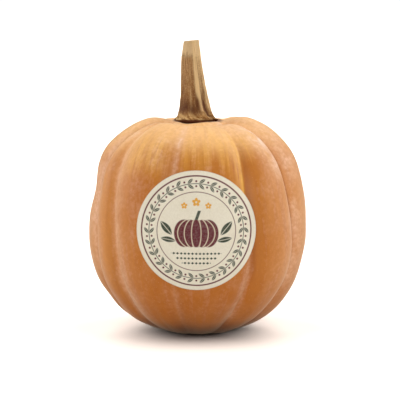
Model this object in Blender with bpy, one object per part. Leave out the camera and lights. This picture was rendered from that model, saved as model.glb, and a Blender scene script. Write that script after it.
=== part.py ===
"""An autumn frost squash at real size: the ribbed fruit, its cut stem and the round paper label on its front.

+Z is up and the front faces -Y. The origin lies on the surface that the squash rests on, under its middle.
An azimuth is 0 at the front and grows towards +X. A latitude is 90 at the stem and -90 at the blossom end.
"""

import math

import bmesh
import bpy
from mathutils import Vector

MM = 0.001

# Fruit outline: a superellipse turned about Z, squarer over the shoulders than under the belly
FRUIT_RADIUS = 88.3 * MM
CROWN_HEIGHT = 176.2 * MM
EQUATOR_HEIGHT = 79 * MM
SHOULDER_EXPONENT = 2.8
BELLY_EXPONENT = 2.25
FOOT_SINK = 3.2 * MM  # the part of the round belly that is pressed flat into the foot

# Stem pit and blossom scar
ATTACH_RADIUS = 20 * MM
PIT_RADIUS = 42 * MM
PIT_DEPTH = 7.2 * MM
FURROW_START = 29 * MM  # the furrows are at their full depth this far from the axis
SCAR_RADIUS = 7 * MM
SCAR_DEPTH = 1.2 * MM

# The lobes, round from the left of the front. Each line starts with the furrow on a lobe's left: its azimuth
# at the stem, at the equator and at the blossom end, before its swing, then its depth, and how soft its
# bottom is as a share of half a lobe. The lobe's swell at the equator and its lift round the pit come last.
LOBES = (
    (-66, -73, -72, 4.4 * MM, 0.07, 0.2 * MM, -1.4 * MM),
    (-57, -49, -46, 3.2 * MM, 0.22, 0.3 * MM, -2.4 * MM),
    (-13, -14, -12, 2.6 * MM, 0.25, 0.2 * MM, -4.2 * MM),
    (30, 28, 24, 4.2 * MM, 0.10, 0.3 * MM, -3.2 * MM),
    (59, 64, 53, 5.4 * MM, 0.06, 0.4 * MM, 1.6 * MM),
    (106, 103, 104, 3.6 * MM, 0.12, 0.0 * MM, -1.2 * MM),
    (137, 139, 136, 4.2 * MM, 0.08, 0.5 * MM, -3.6 * MM),
    (168, 170, 169, 3.4 * MM, 0.18, 0.1 * MM, -3.8 * MM),
    (201, 199, 201, 4.4 * MM, 0.10, 0.4 * MM, -3.2 * MM),
    (233, 234, 231, 3.6 * MM, 0.16, 0.0 * MM, -1.6 * MM),
    (262, 261, 264, 4.0 * MM, 0.12, 0.6 * MM, 0.8 * MM),
)
# How far each lobe's left furrow swings to one side and back on its way down, in degrees
SWINGS = (2.0, 0, 0, 2.4, 2.4, 0, -2.0, 1.5, 0, -2.0, 0)
SWING_RATE = 4.2  # how quickly the swing turns, in radians for each unit of the latitude's sine
SWING_START = 0.12  # the latitude's sine where the swing is nothing
LOBE_ROUNDNESS = 2.4  # a higher figure keeps a lobe's crest flatter and its sides steeper
EQUATOR_SHARE = 0.8  # a furrow's depth at the equator, as a share of its depth over the shoulder
FOOT_SHARE = 0.1
FOOT_FADE = (20 * MM, 80 * MM)  # the radii between which the furrows fade under the belly
LOBE_COLUMNS = 8
FRUIT_ROWS = 26
SCAR_ROWS = 4

# Stem, measured from the bottom of the pit
STEM_HEIGHT = 65.9 * MM
STEM_GAP = 0.3 * MM
STEM_FOOT = Vector((-1.8, 0, 0)) * MM
STEM_TOP = Vector((-5.0, 4, 0)) * MM
STEM_LEAN_REACH = 0.85  # as a share of the stem's height
SHAFT_FOOT_RADIUS = 14.4 * MM
SHAFT_TOP_RADIUS = 7.6 * MM
CUT_SHARE = 0.93  # the shaft narrows to this at its cut end
FLARE = 5.0 * MM
FLARE_REACH = 0.13  # as a share of the stem's height
RIM_SHARE = 0.9  # the foot's underside, as a share of its widest radius
RIM_HEIGHT = 1 * MM

# The stem's ridges: each one's azimuth up the shaft, and how far it rises as a share of the grooves' depth
RIDGES = (
    (-14, 0.35),
    (26, 1.0),
    (62, 0.8),
    (108, 0.9),
    (160, 0.7),
    (222, 0.9),
    (280, 0.55),
)
FOOT_SWEEP = 30  # how much further round the ridges end at the foot
SWEEP_REACH = 0.06  # as a share of the stem's height
GROOVE_SHARE = 0.2  # the depth of the grooves, as a share of the radius
GROOVE_WIDTH = 0.6  # a lower figure makes the grooves wider and the ridges narrower
CUT_SLOPE = 0.1
RIDGE_COLUMNS = 6
STEM_ROWS = 18

# Label
LABEL_RADIUS = 45.7 * MM
LABEL_HEIGHT = 92 * MM
LABEL_OFFSET = -1 * MM  # towards +X
LABEL_GAP = 0.3 * MM
LABEL_THICKNESS = 0.2 * MM
LABEL_FURROW_SHARE = 0.6  # the paper sinks this far into the furrows that it bridges
LABEL_SPOKES = 60
LABEL_RINGS = 10


def lerp(a, b, share):
    return a + (b - a) * share


def ease(low, high, value):
    """0 below low, 1 above high, and a smooth step between them."""
    share = min(1.0, max(0.0, (value - low) / (high - low)))
    return share * share * (3 - 2 * share)


def clear_scene():
    for item in list(bpy.data.objects):
        bpy.data.objects.remove(item)


def make_material(name, colour, roughness):
    material = bpy.data.materials.new(name)
    material.use_nodes = True
    shader = material.node_tree.nodes["Principled BSDF"]
    shader.inputs["Base Color"].default_value = (*colour, 1)
    shader.inputs["Roughness"].default_value = roughness
    return material


def link_mesh(name, mesh, parent):
    piece = bpy.data.objects.new(name, mesh)
    bpy.context.scene.collection.objects.link(piece)
    piece.parent = parent
    return piece


def rings_to_mesh(name, rings):
    """A closed mesh through rings of points, each as long as the next, with both end rings capped."""
    shape = bmesh.new()
    loops = [[shape.verts.new(point) for point in ring] for ring in rings]
    for upper, lower in zip(loops, loops[1:]):
        for i in range(len(upper)):
            after = (i + 1) % len(upper)
            shape.faces.new((upper[i], lower[i], lower[after], upper[after]))
    shape.faces.new(loops[0])
    shape.faces.new(reversed(loops[-1]))
    bmesh.ops.recalc_face_normals(shape, faces=shape.faces)
    mesh = bpy.data.meshes.new(name)
    shape.to_mesh(mesh)
    shape.free()
    return mesh


def outline(latitude):
    """(radius, height, outward direction) of the fruit's crests at a latitude in degrees."""
    angle = math.radians(latitude)
    above = latitude >= 0
    exponent = SHOULDER_EXPONENT if above else BELLY_EXPONENT
    reach = CROWN_HEIGHT - EQUATOR_HEIGHT if above else EQUATOR_HEIGHT + FOOT_SINK
    across = abs(math.cos(angle)) / FRUIT_RADIUS
    along = abs(math.sin(angle)) / reach
    distance = (across**exponent + along**exponent) ** (-1 / exponent)
    radius = distance * math.cos(angle)
    rise = distance * math.sin(angle)
    outward = Vector(
        (
            across ** (exponent - 1) / FRUIT_RADIUS,
            math.copysign(along ** (exponent - 1) / reach, rise),
        )
    ).normalized()
    return radius, EQUATOR_HEIGHT + rise, outward


def furrow_share(latitude, radius):
    """How deep a furrow is here: deepest over the shoulder, and fading out at the stem and the foot."""
    if latitude < 0:
        return EQUATOR_SHARE * lerp(FOOT_SHARE, 1, ease(*FOOT_FADE, radius))
    over_shoulder = lerp(EQUATOR_SHARE, 1, ease(0, 50, latitude))
    return over_shoulder * ease(ATTACH_RADIUS * 0.9, FURROW_START, radius)


def furrow_azimuth(lobe, latitude):
    """The azimuth of a lobe's left furrow: a smooth curve through its three given ones, with a swing."""
    turns, index = divmod(lobe, len(LOBES))
    at_stem, at_equator, at_blossom = LOBES[index][:3]
    rise = math.sin(math.radians(latitude))
    lean = (at_stem - at_blossom) / 2
    bow = (at_stem + at_blossom) / 2 - at_equator
    swing = SWINGS[index] * math.sin(SWING_RATE * (SWING_START - rise))
    return 360 * turns + at_equator + lean * rise + bow * rise * rise + swing


def lobe_rise(across, softness):
    """0 in the furrow on either side of a lobe, and 1 on its crest."""
    inside = 1 - abs(2 * across - 1)
    share = (math.hypot(inside, softness) - softness) / (math.hypot(1, softness) - softness)
    return 1 - (1 - share) ** LOBE_ROUNDNESS


def skin_point(lobe, across, latitude, depth_share=1.0):
    """A point of the skin: across runs from 0 at the lobe's left furrow to 1 at its right one."""
    radius, height, outward = outline(latitude)
    left_depth, left_softness, swell, lift = LOBES[lobe][3:]
    right_depth, right_softness = LOBES[(lobe + 1) % len(LOBES)][3:5]
    to_right = ease(0, 1, across)
    rise = lobe_rise(across, lerp(left_softness, right_softness, to_right))
    depth = lerp(left_depth, right_depth, to_right) * depth_share
    bulge = lerp(swell, lift, ease(20, 70, latitude))
    out = (bulge * rise - depth * (1 - rise)) * furrow_share(latitude, radius)
    radius += outward.x * out
    height += outward.y * out
    if latitude > 0:
        height -= PIT_DEPTH * (1 - ease(ATTACH_RADIUS * 0.5, PIT_RADIUS, radius))
    else:
        height = max(height, 0) + SCAR_DEPTH * (1 - ease(SCAR_RADIUS / 3, SCAR_RADIUS, radius))
    left = furrow_azimuth(lobe, latitude)
    right = furrow_azimuth(lobe + 1, latitude)
    azimuth = math.radians(lerp(left, right, across))
    return Vector((radius * math.sin(azimuth), -radius * math.cos(azimuth), height))


def skin_latitudes():
    """Even rows from the stem's seat down to the scar's rim, and then a few inside the scar."""
    seat = math.degrees(math.atan2(CROWN_HEIGHT - EQUATOR_HEIGHT, ATTACH_RADIUS))
    for row in range(FRUIT_ROWS):
        yield lerp(seat, scar_latitude(1), row / FRUIT_ROWS)
    for row in range(SCAR_ROWS):
        yield scar_latitude(1 - row / SCAR_ROWS)


def scar_latitude(share):
    return -math.degrees(math.atan2(EQUATOR_HEIGHT + FOOT_SINK, SCAR_RADIUS * share))


def skin_rings(depth_share=1.0):
    """Rings of points from the stem's seat down to the blossom scar."""
    for latitude in skin_latitudes():
        yield [
            skin_point(lobe, column / LOBE_COLUMNS, latitude, depth_share)
            for lobe in range(len(LOBES))
            for column in range(LOBE_COLUMNS)
        ]


def make_fruit(parent):
    """The furrowed fruit, one solid, with a flat seat in its stem pit and a flat foot round its scar."""
    rings = list(skin_rings())
    seat = CROWN_HEIGHT - PIT_DEPTH
    for point in rings[0]:
        point.z = seat
    fruit = link_mesh("fruit", rings_to_mesh("fruit", rings), parent)
    fruit.data.materials.append(make_material("frosted_skin", (0.58, 0.27, 0.09), 0.55))
    fruit.data.shade_smooth()
    return fruit


def stem_centre(share):
    """The stem's middle line, which leans over as it rises, at a share of its height."""
    return STEM_FOOT.lerp(STEM_TOP, ease(0, STEM_LEAN_REACH, share))


def stem_radius(share, ridge, across):
    """The stem's radius: a tapering shaft with a flared foot. Across is 0 on a ridge and 1 on the next."""
    shaft = lerp(SHAFT_FOOT_RADIUS, SHAFT_TOP_RADIUS, share) * lerp(1, CUT_SHARE, ease(0.85, 1, share))
    flared = shaft + FLARE * math.exp(-((share / FLARE_REACH) ** 1.3))
    groove = math.sin(math.pi * across) ** GROOVE_WIDTH
    crest = lerp(RIDGES[ridge][1], RIDGES[(ridge + 1) % len(RIDGES)][1], across) * (1 - groove)
    return flared * (1 - GROOVE_SHARE * (1 - crest))


def stem_azimuth(share, ridge, across):
    """The azimuth of a point between a ridge and the next one. The ridges sweep round at the foot."""
    turns, after = divmod(ridge + 1, len(RIDGES))
    sweep = FOOT_SWEEP * math.exp(-share / SWEEP_REACH)
    return lerp(RIDGES[ridge][0], RIDGES[after][0] + 360 * turns, across) + sweep


def stem_rings():
    """Rings of points from the rim of the foot up to the sloping cut."""
    seat = CROWN_HEIGHT - PIT_DEPTH + STEM_GAP
    for row in range(-1, STEM_ROWS + 1):
        share = max(0, row / STEM_ROWS) ** 1.5
        centre = stem_centre(share)
        ring = []
        for column in range(len(RIDGES) * RIDGE_COLUMNS):
            ridge, step = divmod(column, RIDGE_COLUMNS)
            across = step / RIDGE_COLUMNS
            radius = stem_radius(share, ridge, across)
            height = seat + STEM_HEIGHT * share
            if row < 0:
                radius *= RIM_SHARE
            else:
                height += RIM_HEIGHT * (1 - share)
            angle = math.radians(stem_azimuth(share, ridge, across))
            point = centre + Vector((radius * math.sin(angle), -radius * math.cos(angle), 0))
            point.z = height + CUT_SLOPE * (point.x - centre.x) * ease(0.9, 1, share)
            ring.append(point)
        yield ring


def make_stem(parent):
    """The woody stalk: a ridged, twisted shaft on a flared foot, cut off at a slight slope."""
    stem = link_mesh("stem", rings_to_mesh("stem", stem_rings()), parent)
    stem.data.materials.append(make_material("dry_stalk", (0.36, 0.22, 0.1), 0.7))
    stem.data.shade_smooth()
    stem.data.set_sharp_from_angle(angle=math.radians(50))
    return stem


def make_label_bed(parent):
    """A guide that the label is laid on: the fruit with the shallower furrows that paper can follow."""
    bed = link_mesh("label_bed", rings_to_mesh("label_bed", skin_rings(LABEL_FURROW_SHARE)), parent)
    bed.hide_render = True
    bed.display_type = "WIRE"
    return bed


def label_disc():
    """A flat disc in front of the fruit, facing -Y, made of rings of points about its middle."""
    shape = bmesh.new()
    middle = shape.verts.new((LABEL_OFFSET, -FRUIT_RADIUS * 1.5, LABEL_HEIGHT))
    loops = []
    for ring in range(1, LABEL_RINGS + 1):
        radius = LABEL_RADIUS * ring / LABEL_RINGS
        angles = [math.tau * spoke / LABEL_SPOKES for spoke in range(LABEL_SPOKES)]
        loops.append(
            [
                shape.verts.new(middle.co + Vector((radius * math.sin(a), 0, radius * math.cos(a))))
                for a in angles
            ]
        )
    for spoke in range(LABEL_SPOKES):
        after = (spoke + 1) % LABEL_SPOKES
        shape.faces.new((middle, loops[0][after], loops[0][spoke]))
        for inner, outer in zip(loops, loops[1:]):
            shape.faces.new((inner[spoke], inner[after], outer[after], outer[spoke]))
    mesh = bpy.data.meshes.new("label")
    shape.to_mesh(mesh)
    shape.free()
    return mesh


def make_label(bed, parent):
    """The round paper label, laid on the front of the fruit."""
    label = link_mesh("label", label_disc(), parent)
    wrap = label.modifiers.new("lay on the skin", "SHRINKWRAP")
    wrap.target = bed
    wrap.wrap_method = "PROJECT"
    wrap.use_project_y = True
    wrap.use_negative_direction = True
    wrap.use_positive_direction = True
    wrap.wrap_mode = "ABOVE_SURFACE"
    wrap.offset = LABEL_GAP
    paper = label.modifiers.new("paper", "SOLIDIFY")
    paper.thickness = LABEL_THICKNESS
    paper.offset = 1
    label.data.materials.append(make_material("label_paper", (0.8, 0.76, 0.64), 0.6))
    label.data.shade_smooth()
    return label


def centre_on_origin(root, pieces):
    """Moves the squash sideways until the origin is under the middle of its box."""
    bpy.context.view_layer.update()
    graph = bpy.context.evaluated_depsgraph_get()
    corners = [
        piece.matrix_world @ Vector(corner)
        for piece in pieces
        for corner in piece.evaluated_get(graph).bound_box
    ]
    for axis in (0, 1):
        values = [corner[axis] for corner in corners]
        root.location[axis] -= (min(values) + max(values)) / 2


def main():
    clear_scene()
    root = bpy.data.objects.new("squash", None)
    bpy.context.scene.collection.objects.link(root)
    fruit = make_fruit(root)
    stem = make_stem(root)
    label = make_label(make_label_bed(root), root)
    centre_on_origin(root, (fruit, stem, label))


main()
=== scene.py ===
"""The looks of an autumn frost squash: bloomed, ribbed skin, a dry woody stem and a printed paper label.

+Z is up and the front faces -Y. An azimuth is 0 at the front and grows towards +X. A latitude is 90 at the
stem and -90 at the blossom end. Angles are in degrees and lengths in metres.
"""

import math

import bmesh
import bpy
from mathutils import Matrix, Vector
from mathutils.bvhtree import BVHTree
from mathutils.noise import noise


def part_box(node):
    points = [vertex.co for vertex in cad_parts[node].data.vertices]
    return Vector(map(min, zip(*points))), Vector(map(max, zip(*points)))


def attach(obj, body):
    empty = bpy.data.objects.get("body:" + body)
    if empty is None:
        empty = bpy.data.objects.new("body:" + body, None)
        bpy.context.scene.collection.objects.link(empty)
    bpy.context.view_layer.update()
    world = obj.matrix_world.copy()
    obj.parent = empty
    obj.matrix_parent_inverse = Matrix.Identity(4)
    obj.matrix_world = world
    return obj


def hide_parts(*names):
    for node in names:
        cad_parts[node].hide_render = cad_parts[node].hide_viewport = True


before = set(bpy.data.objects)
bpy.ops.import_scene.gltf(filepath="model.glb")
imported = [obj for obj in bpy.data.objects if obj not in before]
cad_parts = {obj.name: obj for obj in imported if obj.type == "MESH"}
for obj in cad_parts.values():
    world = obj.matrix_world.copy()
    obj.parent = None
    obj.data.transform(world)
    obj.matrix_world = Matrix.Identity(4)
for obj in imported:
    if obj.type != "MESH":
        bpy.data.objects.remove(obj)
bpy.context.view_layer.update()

MM = 0.001

# Fruit outline: a superellipse turned about Z, squarer over the shoulders than under the belly
FRUIT_RADIUS = 88.3 * MM
CROWN_HEIGHT = 176.2 * MM
EQUATOR_HEIGHT = 79 * MM
SHOULDER_EXPONENT = 2.8
BELLY_EXPONENT = 2.25
FOOT_SINK = 3.2 * MM

# Stem pit and blossom scar
ATTACH_RADIUS = 20 * MM
PIT_RADIUS = 42 * MM
PIT_DEPTH = 7.2 * MM
FURROW_START = 29 * MM  # the furrows are at their full depth this far from the axis
CREVICE_RADIUS = ATTACH_RADIUS * 0.87  # a narrow dip in the skin runs round the foot of the stem
CREVICE_WIDTH = 2.5 * MM
CREVICE_DEPTH = 0.9 * MM
SCAR_RADIUS = 7 * MM
SCAR_DEPTH = 1.2 * MM

# The lobes, round from the left of the front. Each line starts with the furrow on a lobe's left: its azimuth
# at the stem, at the equator and at the blossom end, before its swing, then its depth, and how soft its
# bottom is as a share of half a lobe. The lobe's swell at the equator and its lift round the pit come last.
LOBES = (
    (-66, -73, -72, 4.4 * MM, 0.07, 0.2 * MM, -1.4 * MM),
    (-57, -49, -46, 3.2 * MM, 0.22, 0.3 * MM, -2.4 * MM),
    (-13, -14, -12, 2.6 * MM, 0.25, 0.2 * MM, -4.2 * MM),
    (30, 28, 24, 4.2 * MM, 0.10, 0.3 * MM, -3.2 * MM),
    (59, 64, 53, 5.4 * MM, 0.06, 0.4 * MM, 1.6 * MM),
    (106, 103, 104, 3.6 * MM, 0.12, 0.0 * MM, -1.2 * MM),
    (137, 139, 136, 4.2 * MM, 0.08, 0.5 * MM, -3.6 * MM),
    (168, 170, 169, 3.4 * MM, 0.18, 0.1 * MM, -3.8 * MM),
    (201, 199, 201, 4.4 * MM, 0.10, 0.4 * MM, -3.2 * MM),
    (233, 234, 231, 3.6 * MM, 0.16, 0.0 * MM, -1.6 * MM),
    (262, 261, 264, 4.0 * MM, 0.12, 0.6 * MM, 0.8 * MM),
)
# How far each lobe's left furrow swings to one side and back on its way down, in degrees
SWINGS = (2.0, 0, 0, 2.4, 2.4, 0, -2.0, 1.5, 0, -2.0, 0)
SWING_RATE = 4.2  # how quickly the swing turns, in radians for each unit of the latitude's sine
SWING_START = 0.12  # the latitude's sine where the swing is nothing
LOBE_ROUNDNESS = 2.4
EQUATOR_SHARE = 0.8
FOOT_SHARE = 0.1
FOOT_FADE = (20 * MM, 80 * MM)

# The fold in the furrow on each lobe's left: its depth, and how far it reaches to the left and to the right
FOLDS = (
    (1.6 * MM, 5 * MM, 5 * MM),
    (1.6 * MM, 9 * MM, 4 * MM),
    (1.4 * MM, 8 * MM, 8 * MM),
    (2.2 * MM, 4 * MM, 9 * MM),
    (2.8 * MM, 4 * MM, 10 * MM),
    (1.4 * MM, 6 * MM, 5 * MM),
    (2.0 * MM, 4 * MM, 8 * MM),
    (1.0 * MM, 6 * MM, 4 * MM),
    (1.8 * MM, 8 * MM, 4 * MM),
    (1.2 * MM, 5 * MM, 5 * MM),
    (1.8 * MM, 8 * MM, 5 * MM),
)
FOLD_SOFTNESS = 0.6 * MM

# Bands of pale bloom beside the furrows, partly a painted highlight where the lobes' lips catch the light:
# the furrow, how far right of it the band is, the band's half width, its lowest and highest level as shares
# of the fruit's height, and its strength (below 0 for bare skin)
FROST_AND_HIGHLIGHT_BANDS = (
    (0, 1.0 * MM, 1.4 * MM, 0.2, 0.95, 0.5),
    (0, -4.0 * MM, 3.0 * MM, 0.3, 0.9, 0.7),
    (0, -9.0 * MM, 5.0 * MM, 0.48, 0.78, 0.8),
    (0, 9.0 * MM, 2.5 * MM, 0.6, 0.95, 0.7),
    (1, 0.5 * MM, 2.4 * MM, 0.05, 0.9, 0.4),
    (1, 5.0 * MM, 5.0 * MM, 0.1, 0.95, 0.4),
    (1, -11.0 * MM, 6.0 * MM, 0.1, 0.95, -0.6),
    (2, 0.0 * MM, 2.6 * MM, 0.78, 0.97, 1.1),
    (2, -14.0 * MM, 8.0 * MM, 0.8, 0.93, 0.6),
    (2, 0.0 * MM, 1.8 * MM, 0.02, 0.3, 0.25),
    (3, -2.0 * MM, 4.5 * MM, 0.02, 0.5, 0.5),
    (3, 5.0 * MM, 6.0 * MM, 0.2, 0.95, -0.6),
    # A painted highlight: a near-white glint on the lip just left of furrow 4, near the top
    (4, -5.2 * MM, 2.4 * MM, 0.93, 0.975, 4.4),
    (4, -3.0 * MM, 6.0 * MM, 0.05, 0.35, 0.6),
    (4, -1.4 * MM, 1.0 * MM, 0.3, 0.86, 0.7),
    (4, -12.0 * MM, 9.0 * MM, 0.74, 0.96, 1.5),
    (4, -5.0 * MM, 4.0 * MM, 0.1, 0.7, 0.7),
    (4, 12.0 * MM, 8.0 * MM, 0.72, 0.95, 0.9),
    (4, 5.0 * MM, 8.0 * MM, 0.2, 0.62, 0.7),
    (4, -3.5 * MM, 1.0 * MM, 0.08, 0.4, 0.5),
    (5, 1.0 * MM, 2.0 * MM, 0.1, 0.9, 0.6),
    (6, -1.5 * MM, 1.2 * MM, 0.1, 0.95, 0.7),
    (6, -6.0 * MM, 6.0 * MM, 0.2, 0.9, 0.5),
    (7, 0.0 * MM, 2.4 * MM, 0.3, 0.97, 0.5),
    (8, 1.4 * MM, 1.4 * MM, 0.1, 0.9, 0.7),
    (8, 6.0 * MM, 6.0 * MM, 0.3, 0.9, 0.5),
    (9, 0.0 * MM, 2.2 * MM, 0.1, 0.9, 0.6),
    (10, -1.2 * MM, 1.2 * MM, 0.1, 0.9, 0.7),
    (10, 5.0 * MM, 6.0 * MM, 0.2, 0.9, 0.5),
)

# Dark lines and shaded flanks, in the same way
SHADE_BANDS = (
    (0, 2.8 * MM, 2.6 * MM, 0.62, 0.97, 1.2),
    (0, 0.3 * MM, 0.8 * MM, 0.2, 0.72, 0.5),
    (1, -7.0 * MM, 4.0 * MM, 0.2, 0.85, 0.22),
    (3, 2.0 * MM, 2.6 * MM, 0.3, 0.9, 0.5),
    (4, 1.0 * MM, 1.6 * MM, 0.3, 0.93, 0.8),
    (6, 1.0 * MM, 1.4 * MM, 0.3, 0.95, 0.8),
    (8, -1.0 * MM, 1.4 * MM, 0.3, 0.95, 0.7),
    (10, 1.0 * MM, 1.4 * MM, 0.3, 0.95, 0.6),
)

# Golden bands, in the same way. The first two, on the lip just left of furrow 3, are partly a painted
# highlight where that lip catches the light
GOLD_AND_HIGHLIGHT_BANDS = (
    (3, -1.6 * MM, 1.3 * MM, 0.6, 0.97, 1.0),
    (3, -5.0 * MM, 4.5 * MM, 0.6, 0.97, 0.5),
    (1, 6.0 * MM, 5.0 * MM, 0.75, 0.97, 0.5),
    (1, 18.0 * MM, 7.0 * MM, 0.76, 0.94, 0.6),
    (1, 31.0 * MM, 6.0 * MM, 0.78, 0.95, 0.5),
    (2, -14.0 * MM, 7.0 * MM, 0.76, 0.93, 0.4),
    (2, 9.0 * MM, 4.0 * MM, 0.78, 0.95, 0.4),
    (2, 22.0 * MM, 6.0 * MM, 0.78, 0.95, 0.4),
    (3, -15.0 * MM, 5.0 * MM, 0.76, 0.94, 0.5),
    (4, -18.0 * MM, 4.0 * MM, 0.75, 0.95, 0.3),
    (7, -2.0 * MM, 1.4 * MM, 0.6, 0.97, 0.8),
    (9, 3.0 * MM, 4.0 * MM, 0.6, 0.97, 0.6),
)

# Broad bulges (or dents, below 0): azimuth, height, half width in degrees, half height, rise
BULGES = (
    (-30, 175 * MM, 20, 3 * MM, -1.7 * MM),
    (-6, 168 * MM, 26, 10 * MM, -1.4 * MM),
    (-90, 115 * MM, 22, 18 * MM, -3.9 * MM),
    (-90, 152 * MM, 25, 20 * MM, 0.6 * MM),
    (-86, 164 * MM, 30, 13 * MM, -1.9 * MM),
    (-92, 72 * MM, 20, 22 * MM, 0.6 * MM),
    (-90, 28 * MM, 28, 9 * MM, -1.2 * MM),
    (85, 162 * MM, 32, 16 * MM, -1.9 * MM),
    (90, 121 * MM, 32, 16 * MM, -0.8 * MM),
    (90, 76 * MM, 30, 14 * MM, 0.5 * MM),
    (90, 48 * MM, 32, 22 * MM, -1.2 * MM),
    (75, 13 * MM, 30, 11 * MM, 0.9 * MM),
)

# Short faint creases on the lobes: azimuth, lowest and highest latitude, depth
SIDE_CREASES = (
    (68, -14, 16, 0.5 * MM),
    (-27, -58, -36, 0.4 * MM),
    (6, -62, -40, 0.25 * MM),
    (88, -40, 30, 0.2 * MM),
    (121, 10, 48, 0.3 * MM),
    (184, -30, 25, 0.3 * MM),
    (216, -50, -15, 0.3 * MM),
    (250, 5, 45, 0.25 * MM),
)
SIDE_CREASE_WIDTH = 2.2 * MM

# Small unevenness of the skin, all over
DENT_HEIGHT = 0.7 * MM
SMALL_DENT_HEIGHT = 0.18 * MM
RIB_HEIGHT = 0.25 * MM
LUMP_HEIGHT = 0.05 * MM

LOBE_COLUMNS = 38
CROWDING = 0.6  # how much closer the columns of points are in the furrows and on the stem's ridges
FRUIT_ROWS = 176
SCAR_ROWS = 10

# Stem, measured from the bottom of the pit
STEM_HEIGHT = 65.9 * MM
STEM_GAP = 0.3 * MM
STEM_FOOT = Vector((-1.8, 0, 0)) * MM
STEM_TOP = Vector((-5.0, 4, 0)) * MM
STEM_LEAN_REACH = 0.85
SHAFT_FOOT_RADIUS = 14.4 * MM
SHAFT_TOP_RADIUS = 7.6 * MM
CUT_SHARE = 0.93
FLARE = 5.0 * MM
FLARE_REACH = 0.13
RIM_SHARE = 0.9
RIM_HEIGHT = 1 * MM

# The stem's ridges: each one's azimuth up the shaft, and how far it rises as a share of the grooves' depth
RIDGES = (
    (-14, 0.35),
    (26, 1.0),
    (62, 0.8),
    (108, 0.9),
    (160, 0.7),
    (222, 0.9),
    (280, 0.55),
)
FOOT_SWEEP = 30
SWEEP_REACH = 0.06
GROOVE_SHARE = 0.2
GROOVE_WIDTH = 0.6
CUT_SLOPE = 0.1
RIDGE_COLUMNS = 36
STEM_ROWS = 150
CUT_RINGS = 12
STEM_ROW_CROWDING = 1.3  # above 1, the rows are closer at the foot
CUT_ROUGHNESS = 0.3 * MM
CUT_HOLLOW = 1.6 * MM
FIBRE_HEIGHT = 0.4 * MM
STRAND_HEIGHT = 0.25 * MM
KNOT_HEIGHT = 0.3 * MM
WART_HEIGHT = 3.2 * MM
CRACK_SHARE = 0.81  # the bark ends in a short step at this share of the height, on the broad left face
CRACK_STEP = 0.25 * MM

# Dark stains on the stem: azimuth up the shaft, half width in degrees, lowest and highest share of the stem's
# height, and strength
STAINS = (
    (12, 10, 0.13, 0.32, 0.7),
    (-10, 14, 0.1, 0.22, 0.9),
    (-36, 12, 0.14, 0.26, 0.9),
    (-58, 14, 0.11, 0.22, 0.8),
    (-78, 10, 0.13, 0.3, 0.6),
    (45, 7, 0.02, 0.3, 1.0),
    (82, 12, 0.05, 0.4, 0.6),
    (135, 18, 0.08, 0.32, 0.8),
    (190, 18, 0.06, 0.45, 0.6),
    (250, 16, 0.08, 0.3, 0.7),
)
# Pale bark along the ridges, partly a painted highlight where they catch the light, in the same way
PALE_BANDS = (
    (19, 8, 0.3, 1.1, 1.1),
    (24, 5, 0.06, 0.6, 1.0),
    (-14, 4, 0.14, 0.42, 0.35),
    (63, 5, 0.06, 0.4, 0.7),
    (108, 8, 0.1, 0.9, 0.7),
    (160, 7, 0.1, 0.7, 0.6),
    (222, 9, 0.1, 0.9, 0.7),
    (280, 6, 0.2, 0.9, 0.4),
)

# Label
LABEL_FURROW_SHARE = 0.6
LABEL_GAP = 0.12 * MM
LABEL_THICKNESS = 0.2 * MM
LABEL_SPOKES = 180
LABEL_RINGS = 48
LABEL_BED_COLUMNS = 16  # for each lobe

# Studio. Each lamp has a name, what it reaches, its azimuth and elevation, its width in degrees and its
# strength. The floor's own lamps are so strong that all of it turns plain white but the fruit's shadow.
LAMPS = (
    ("overhead", "pieces", 165, 72, 70, 0.5),
    ("front", "pieces", 3, 9, 50, 0.46),
    ("left_side", "pieces", -106, 28, 50, 0.42),
    ("right_side", "pieces", 104, 30, 50, 0.42),
    ("floor_left", "floor", -92, 46, 76, 2.8),
    ("floor_right", "floor", 92, 46, 76, 2.8),
    ("floor_back", "floor", 180, 15, 40, 3.9),
)
SURROUNDINGS = 0.22  # the strength of the white surroundings' light
SURROUNDINGS_SEEN = 1.05  # their strength in the picture itself, just past plain white
FLOOR_REACH = 60  # half the floor's width
FLOOR_DROP = 0.1 * MM  # keeps the floor clear of the foot
FLOOR_BOUNCE = (0.168, 0.162, 0.153)  # the floor's colour for the light that it gives back
FLOOR_SEEN = (0.375, 0.33, 0.3)  # the floor's colour for the camera

# Camera, at the photograph's angle. The picture is 400 x 400.
PICTURE_WIDTH = 400
FOCAL_PIXELS = 1530
CAMERA_DISTANCE = 1.25
CAMERA_ELEVATION = 7
AIM_HEIGHT = 0.1056
SIDE_PIXELS = 2.5  # how far left of the picture's middle the fruit's axis is
SENSOR_WIDTH = 36


def lerp(a, b, share):
    return a + (b - a) * share


def ease(low, high, value):
    """0 at low, 1 at high, and a smooth step between them. Low may be the larger."""
    share = min(1.0, max(0.0, (value - low) / (high - low)))
    return share * share * (3 - 2 * share)


def hump(distance, width):
    """1 at distance 0, falling smoothly to almost nothing at twice the width."""
    return math.exp(-((distance / width) ** 2))


def srgb(red, green, blue):
    """A linear colour from the usual 0 to 255 values."""
    shares = [value / 255 for value in (red, green, blue)]
    linear = [s / 12.92 if s <= 0.04045 else ((s + 0.055) / 1.055) ** 2.4 for s in shares]
    return (*linear, 1)


class Field:
    """A value that varies over a surface. Arithmetic on it adds shader nodes."""

    def __init__(self, paint, socket):
        self.paint = paint
        self.socket = socket

    def __add__(self, other):
        return self.paint.math("ADD", self, other)

    def __radd__(self, other):
        return self.paint.math("ADD", other, self)

    def __sub__(self, other):
        return self.paint.math("SUBTRACT", self, other)

    def __rsub__(self, other):
        return self.paint.math("SUBTRACT", other, self)

    def __mul__(self, other):
        return self.paint.math("MULTIPLY", self, other)

    def __rmul__(self, other):
        return self.paint.math("MULTIPLY", other, self)

    def __truediv__(self, other):
        return self.paint.math("DIVIDE", self, other)

    def __pow__(self, other):
        return self.paint.math("POWER", self, other)

    def __abs__(self):
        return self.paint.math("ABSOLUTE", self)


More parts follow.
